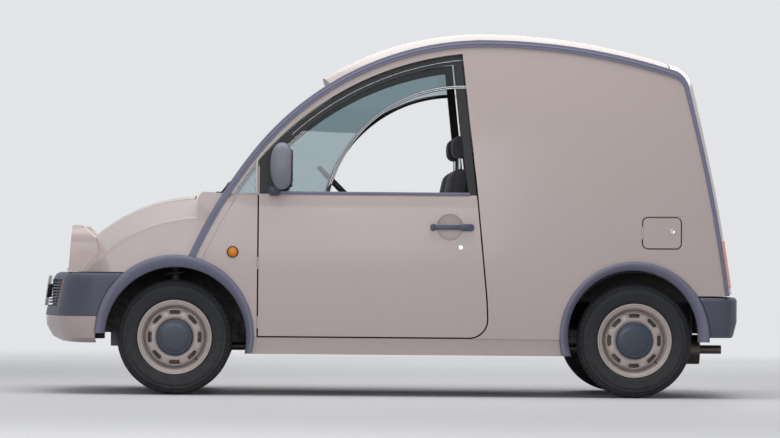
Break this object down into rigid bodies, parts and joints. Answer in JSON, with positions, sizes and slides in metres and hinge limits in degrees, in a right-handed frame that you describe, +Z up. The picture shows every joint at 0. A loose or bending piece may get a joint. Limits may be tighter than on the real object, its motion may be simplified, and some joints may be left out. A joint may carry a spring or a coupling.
{
  "type": "compact panel van",
  "caption": "Small retro panel van with a high arched side line, hinged doors, bonnet and tailgate, steered front wheels and a hollow cab and load space.",
  "frame": {"origin": "on the floor under the middle of the length and width", "axes": "+X to the nose, +Y to the van's left side, +Z up"},
  "size_m": [3.475, 1.76, 1.814],
  "materials": {
    "body_paint": "satin beige-mauve paint",
    "roof_paint": "satin paint, paler roof",
    "grey_moulding": "grey moulded plastic",
    "bumper_plastic": "dark grey moulded plastic",
    "window_glass": "tinted clear glass",
    "black_frame": "black paint",
    "black_plastic": "black moulded plastic",
    "tyre_rubber": "matt",
    "wheel_paint": "satin pale paint",
    "amber_lens": "ribbed amber lens",
    "red_lens": "ribbed red lens",
    "lamp_glass": "clear fluted glass",
    "underbody_paint": "matt underbody paint",
    "engine_metal": "cast",
    "axle_steel": "black painted steel",
    "exhaust_steel": "dull",
    "seat_fabric": "woven grey cloth",
    "dash_plastic": "grained"
  },
  "bodies": {
    "root": {"side_left": "body_paint", "side_right": "body_paint", "roof": "roof_paint", "front_wings": "body_paint", "front_valance": "body_paint", "body_mouldings": "grey_moulding", "arch_mouldings": "grey_moulding", "front_bumper": "bumper_plastic", "rear_bumper": "bumper_plastic", "windscreen": "window_glass", "quarter_panes": "window_glass", "cowl": "black_plastic", "headlamps": "lamp_glass", "amber_lamps": "amber_lens", "tail_lamps": "red_lens", "bulkhead": "underbody_paint", "floor_pan": "underbody_paint", "fuel_tank": "underbody_paint", "engine": "engine_metal", "front_subframe": "axle_steel", "rear_axle": "axle_steel", "exhaust": "exhaust_steel", "seats": "seat_fabric", "dashboard": "dash_plastic"},
    "door_left": {"door_left": "body_paint", "door_left_glass": "window_glass", "door_left_frame": "black_frame", "door_left_handle": "black_plastic", "door_left_mirror": "black_plastic"},
    "knuckle_left": {"knuckle_left": "axle_steel"},
    "door_right": {"door_right": "body_paint", "door_right_glass": "window_glass", "door_right_frame": "black_frame", "door_right_handle": "black_plastic", "door_right_mirror": "black_plastic"},
    "knuckle_right": {"knuckle_right": "axle_steel"},
    "bonnet": {"bonnet": "body_paint"},
    "tailgate": {"tailgate": "body_paint", "tailgate_glass": "window_glass"},
    "fuel_flap": {"fuel_flap": "body_paint"},
    "steering_wheel": {"steering_wheel": "black_plastic"},
    "wheel_front_left": {"tyre_front_left": "tyre_rubber", "rim_front_left": "wheel_paint", "cap_front_left": "black_plastic"},
    "wheel_front_right": {"tyre_front_right": "tyre_rubber", "rim_front_right": "wheel_paint", "cap_front_right": "black_plastic"},
    "wheel_rear_left": {"tyre_rear_left": "tyre_rubber", "rim_rear_left": "wheel_paint", "cap_rear_left": "black_plastic"},
    "wheel_rear_right": {"tyre_rear_right": "tyre_rubber", "rim_rear_right": "wheel_paint", "cap_rear_right": "black_plastic"}
  },
  "joints": [
    {"name": "door_left_hinge", "type": "hinge", "parent": "root", "child": "door_left", "pos_m": [0.66725, 0.778, 0.5], "axis": [0, 0, -1], "range_deg": [0, 65]},
    {"name": "door_right_hinge", "type": "hinge", "parent": "root", "child": "door_right", "pos_m": [0.66725, -0.778, 0.5], "axis": [0, 0, 1], "range_deg": [0, 65]},
    {"name": "bonnet_hinge", "type": "hinge", "parent": "root", "child": "bonnet", "pos_m": [0.98125, 0, 0.98411], "axis": [0, -1, 0], "range_deg": [0, 50]},
    {"name": "tailgate_hinge", "type": "hinge", "parent": "root", "child": "tailgate", "pos_m": [-1.37834, 0, 1.67462], "axis": [0, 1, 0], "range_deg": [0, 85]},
    {"name": "fuel_flap_hinge", "type": "hinge", "parent": "root", "child": "fuel_flap", "pos_m": [-1.22125, 0.76685, 0.8125], "axis": [0, 0.0614, -0.9981], "range_deg": [0, 95]},
    {"name": "steer_left", "type": "hinge", "parent": "root", "child": "knuckle_left", "pos_m": [1.0725, 0.575, 0.283], "axis": [0, 0, 1], "range_deg": [-33, 33]},
    {"name": "steer_right", "type": "hinge", "parent": "root", "child": "knuckle_right", "pos_m": [1.0725, -0.575, 0.283], "axis": [0, 0, 1], "range_deg": [-33, 33]},
    {"name": "steering_wheel_turn", "type": "hinge", "parent": "root", "child": "steering_wheel", "pos_m": [0.241, -0.34, 1.005], "axis": [-0.7071, 0, 0.7071], "range_deg": [-600, 600]},
    {"name": "wheel_front_left_spin", "type": "hinge", "parent": "knuckle_left", "child": "wheel_front_left", "pos_m": [1.0725, 0.6825, 0.283], "axis": [0, 1, 0], "continuous": true},
    {"name": "wheel_front_right_spin", "type": "hinge", "parent": "knuckle_right", "child": "wheel_front_right", "pos_m": [1.0725, -0.6825, 0.283], "axis": [0, 1, 0], "continuous": true},
    {"name": "wheel_rear_left_spin", "type": "hinge", "parent": "root", "child": "wheel_rear_left", "pos_m": [-1.1875, 0.69, 0.283], "axis": [0, 1, 0], "continuous": true},
    {"name": "wheel_rear_right_spin", "type": "hinge", "parent": "root", "child": "wheel_rear_right", "pos_m": [-1.1875, -0.69, 0.283], "axis": [0, 1, 0], "continuous": true}
  ],
  "couplings": [
    {"joint": "steer_right", "follows": "steer_left", "ratio": 1},
    {"joint": "steering_wheel_turn", "follows": "steer_left", "ratio": 18}
  ]
}
